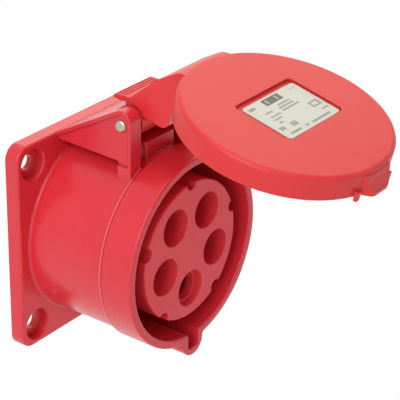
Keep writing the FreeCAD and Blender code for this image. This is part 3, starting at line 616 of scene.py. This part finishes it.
@dataclass
class TorsionSpring:
    """Closing spring round the hinge pin, wound by a spiral of wire."""

    turns: float = 7.0
    pitch_mm: float = 1.6
    mean_mm: float = 5.4
    wire_mm: float = 0.8
    start_mm: float = 0.04
    steps_per_turn: int = 28
    wire_sides: int = 12

    def tree(self, finish: bpy.types.Material) -> bpy.types.NodeTree:
        """Geometry nodes of a coil with named sizes.

        Args:
            finish: The spring's finish.

        Returns:
            The node tree.
        """
        tree = bpy.data.node_groups.new("coil_winding", "GeometryNodeTree")
        tree.interface.new_socket("Geometry", in_out="INPUT", socket_type="NodeSocketGeometry")
        for label in ("Turns", "Mean Radius", "Length", "Wire Radius"):
            tree.interface.new_socket(label, in_out="INPUT", socket_type="NodeSocketFloat")
        tree.interface.new_socket("Geometry", in_out="OUTPUT", socket_type="NodeSocketGeometry")
        given = add_node(tree, "NodeGroupInput")
        coil = add_node(tree, "GeometryNodeCurveSpiral", {
            "Resolution": self.steps_per_turn, "Rotations": given.outputs["Turns"],
            "Start Radius": given.outputs["Mean Radius"], "End Radius": given.outputs["Mean Radius"],
            "Height": given.outputs["Length"]})
        ring = add_node(tree, "GeometryNodeCurvePrimitiveCircle", {
            "Resolution": self.wire_sides, "Radius": given.outputs["Wire Radius"]})
        wire = add_node(tree, "GeometryNodeCurveToMesh", {
            "Curve": coil.outputs["Curve"], "Profile Curve": ring.outputs["Curve"], "Fill Caps": True})
        smooth = add_node(tree, "GeometryNodeSetShadeSmooth", {"Geometry": wire.outputs["Mesh"]})
        real = add_node(tree, "GeometryNodeRealizeInstances", {"Geometry": smooth.outputs["Geometry"]})
        dressed = add_node(tree, "GeometryNodeSetMaterial", {
            "Geometry": real.outputs["Geometry"], "Material": finish})
        add_node(tree, "NodeGroupOutput", {"Geometry": dressed.outputs["Geometry"]})
        return tree

    def build(self, finish: bpy.types.Material) -> bpy.types.Object:
        """Wind the spring and set it round the pin.

        Args:
            finish: The spring's finish.

        Returns:
            The spring.
        """
        tree = self.tree(finish)
        length = self.turns * self.pitch_mm
        values = {"Turns": self.turns, "Mean Radius": self.mean_mm / 2 * MM,
                  "Length": length * MM, "Wire Radius": self.wire_mm / 2 * MM}
        piece = mesh_from_tree("torsion_spring", tree, values)
        place = Matrix.Translation((self.start_mm * MM, HINGE_MM[1] * MM, HINGE_MM[2] * MM))
        piece.data.transform(place @ Matrix.Rotation(math.radians(90), 4, "Y"))
        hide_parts("lid_spring")
        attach(piece, "housing")
        LOG.info("piece %s", piece.name)
        return piece


def mesh_from_tree(name: str, tree: bpy.types.NodeTree, values: dict[str, Any]) -> bpy.types.Object:
    """Run a geometry node tree once and keep its result as a plain mesh.

    Args:
        name: Name of the piece.
        tree: Tree whose named inputs are set.
        values: Input name to value.

    Returns:
        An object with a plain mesh and no modifier.
    """
    seed = bpy.data.meshes.new(name + "_seed")
    holder = bpy.data.objects.new(name, seed)
    bpy.context.scene.collection.objects.link(holder)
    modifier = holder.modifiers.new("form", "NODES")
    modifier.node_group = tree
    for item in tree.interface.items_tree:
        if item.item_type == "SOCKET" and item.in_out == "INPUT" and item.name in values:
            modifier[item.identifier] = values[item.name]
    bpy.context.view_layer.update()
    graph = bpy.context.evaluated_depsgraph_get()
    mesh = bpy.data.meshes.new_from_object(holder.evaluated_get(graph))
    holder.modifiers.remove(modifier)
    mesh.name = name
    holder.data = mesh
    bpy.data.meshes.remove(seed)
    return holder


@dataclass
class SmallParts:
    """Nodes whose solids stay and only get a finish, each found by a word in its name."""

    dressed: tuple[str, ...] = ("contact_insert",)
    words: tuple[tuple[str, str], ...] = (
        ("contact_", "brass"),
        ("sleeve_ring", "spring"),
        ("screw", "screw"),
        ("hinge_pin", "pin"),
        ("gasket", "rubber"))

    def build(self, frame: dict[str, Any], finishes: Finishes) -> None:
        """Assign materials to the remaining solids.

        Args:
            finishes: All finishes of the socket.
        """
        for name in frame["nodes"]:
            kinds = [finish for word, finish in self.words if word in name and name not in self.dressed]
            if kinds:
                DressedNode(name, kinds[0]).build(frame, finishes)


@dataclass(frozen=True)
class Lamp:
    """Square soft lamp: place and side in metres, power in watts."""

    name: str
    spot: tuple[float, float, float]
    side: float
    watts: float
    tint: str = "#FFFFFF"

    def build(self, aim: Vector) -> bpy.types.Object:
        """Add the lamp, turned towards a point.

        Args:
            aim: Point that the lamp faces.

        Returns:
            The lamp object.
        """
        data = bpy.data.lights.new(self.name, "AREA")
        data.shape = "SQUARE"
        data.size = self.side
        data.energy = self.watts
        data.color = linear(self.tint)[:3]
        lamp = bpy.data.objects.new(self.name, data)
        lamp.location = self.spot
        lamp.rotation_euler = (aim - Vector(self.spot)).to_track_quat("-Z", "Y").to_euler()
        bpy.context.scene.collection.objects.link(lamp)
        return lamp


@dataclass
class Studio:
    """Camera, lamps, floor and white surroundings."""

    azimuth: float = -53.96
    elevation: float = 26.68
    roll: float = 1.18
    distance_mm: float = 568.18
    target_mm: tuple[float, float, float] = (28.51, -30.0, 2.05)
    focal_px: float = 1620.81
    frame_px: float = 400.0
    sensor_mm: float = 36.0
    fill: float = 0.4
    floor_reach: float = 3.0
    floor_level: float = -0.16
    aim: tuple[float, float, float] = (0.0, -0.04, 0.02)
    lamps: tuple[Lamp, ...] = (
        Lamp("key_left", (-0.75, -0.10, 0.55), 0.6, 3.6),
        Lamp("back_soft", (0.94, 0.52, 0.73), 0.8, 2.8, "#FFE2C4"),
        Lamp("top_soft", (0.10, 0.05, 0.95), 0.7, 2.9, "#FFE6D6"),
        Lamp("front_fill", (-0.30, -0.95, 0.10), 0.9, 0.12),
        Lamp("low_left", (-0.90, -0.35, -0.02), 0.26, 0.8),
        Lamp("key_high", (-0.62, -0.45, 0.70), 0.6, 1.0))

    def axes(self) -> tuple[Vector, Vector, Vector]:
        """Work out how the camera stands.

        Returns:
            The camera's right, up and back directions.
        """
        a, e, r = (math.radians(v) for v in (self.azimuth, self.elevation, self.roll))
        back = Vector((math.sin(a) * math.cos(e), -math.cos(a) * math.cos(e), math.sin(e)))
        right = Vector((math.cos(a), math.sin(a), 0.0))
        up = back.cross(right)
        return (right * math.cos(r) + up * math.sin(r), up * math.cos(r) - right * math.sin(r), back)

    def camera(self) -> bpy.types.Object:
        """Set the camera where the photograph was taken.

        Returns:
            The camera object.
        """
        data = bpy.data.cameras.new("camera")
        data.sensor_width = self.sensor_mm
        data.sensor_fit = "HORIZONTAL"
        data.lens = self.focal_px / self.frame_px * self.sensor_mm
        data.clip_start = 0.01
        data.clip_end = 50.0
        eye = bpy.data.objects.new("camera", data)
        right, up, back = self.axes()
        turn = Matrix((right, up, back)).transposed().to_4x4()
        spot = Vector(self.target_mm) * MM + back * self.distance_mm * MM
        eye.matrix_world = Matrix.Translation(spot) @ turn
        bpy.context.scene.collection.objects.link(eye)
        bpy.context.scene.camera = eye
        return eye

    def backdrop(self) -> None:
        """White world: full white to the eye and in reflections, softer as a light."""
        world = bpy.data.worlds.new("studio")
        bpy.context.scene.world = world
        world.use_nodes = True
        tree = world.node_tree
        tree.nodes.clear()
        path = add_node(tree, "ShaderNodeLightPath")
        seen = add_node(tree, "ShaderNodeMath", {
            0: path.outputs["Is Camera Ray"], 1: path.outputs["Is Transmission Ray"]}, operation="MAXIMUM")
        seen = add_node(tree, "ShaderNodeMath", {
            0: seen.outputs[0], 1: path.outputs["Is Glossy Ray"]}, operation="MAXIMUM")
        fill = add_node(tree, "ShaderNodeBackground", {"Color": linear("#FFFFFF"), "Strength": self.fill})
        white = add_node(tree, "ShaderNodeBackground", {"Color": linear("#FFFFFF"), "Strength": 1.0})
        mix = add_node(tree, "ShaderNodeMixShader", {
            0: seen.outputs[0], 1: fill.outputs[0], 2: white.outputs[0]})
        add_node(tree, "ShaderNodeOutputWorld", {"Surface": mix.outputs[0]})

    def floor(self) -> bpy.types.Object:
        """Lay a pale floor that bounces light and reads as white to the camera.

        Returns:
            The floor.
        """
        mesh = bpy.data.meshes.new("floor")
        corners = ((-1, -1), (1, -1), (1, 1), (-1, 1))
        mesh.from_pydata([(x * self.floor_reach, y * self.floor_reach, self.floor_level) for x, y in corners],
                         [], [(0, 1, 2, 3)])
        piece = bpy.data.objects.new("floor", mesh)
        bpy.context.scene.collection.objects.link(piece)
        # matt white paint: the eye sees an even white sheet
        material, tree, shader = new_material("floor_painted_white")
        shader.inputs["Base Color"].default_value = linear("#F4F4F4")
        shader.inputs["Roughness"].default_value = 0.9
        path = add_node(tree, "ShaderNodeLightPath")
        glow = add_node(tree, "ShaderNodeEmission", {"Color": linear("#FFFFFF"), "Strength": 1.0})
        seen = add_node(tree, "ShaderNodeMath", {
            0: path.outputs["Is Camera Ray"], 1: path.outputs["Is Glossy Ray"]}, operation="MAXIMUM")
        both = add_node(tree, "ShaderNodeMixShader", {
            0: seen.outputs[0], 1: shader.outputs["BSDF"], 2: glow.outputs["Emission"]})
        tree.links.new(both.outputs["Shader"], tree.nodes["Material Output"].inputs["Surface"])
        mesh.materials.append(material)
        return piece

    def build(self) -> None:
        """Make camera, lamps and surroundings."""
        bpy.context.scene.view_settings.view_transform = "Standard"
        self.camera()
        self.backdrop()
        self.floor()
        for lamp in self.lamps:
            lamp.build(Vector(self.aim))


def main() -> None:
    """Build the scene in order."""
    logging.basicConfig(level=logging.INFO, format="%(name)s: %(message)s")
    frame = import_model()
    finishes = Finishes.build()
    Studio().build()
    Mouldings().build(frame, finishes)
    WebFoot().build(finishes.housing)
    LabelPlate().build(frame, finishes.film)
    TorsionSpring().build(finishes.spring)
    SmallParts().build(frame, finishes)


if __name__ == "__main__":
    main()
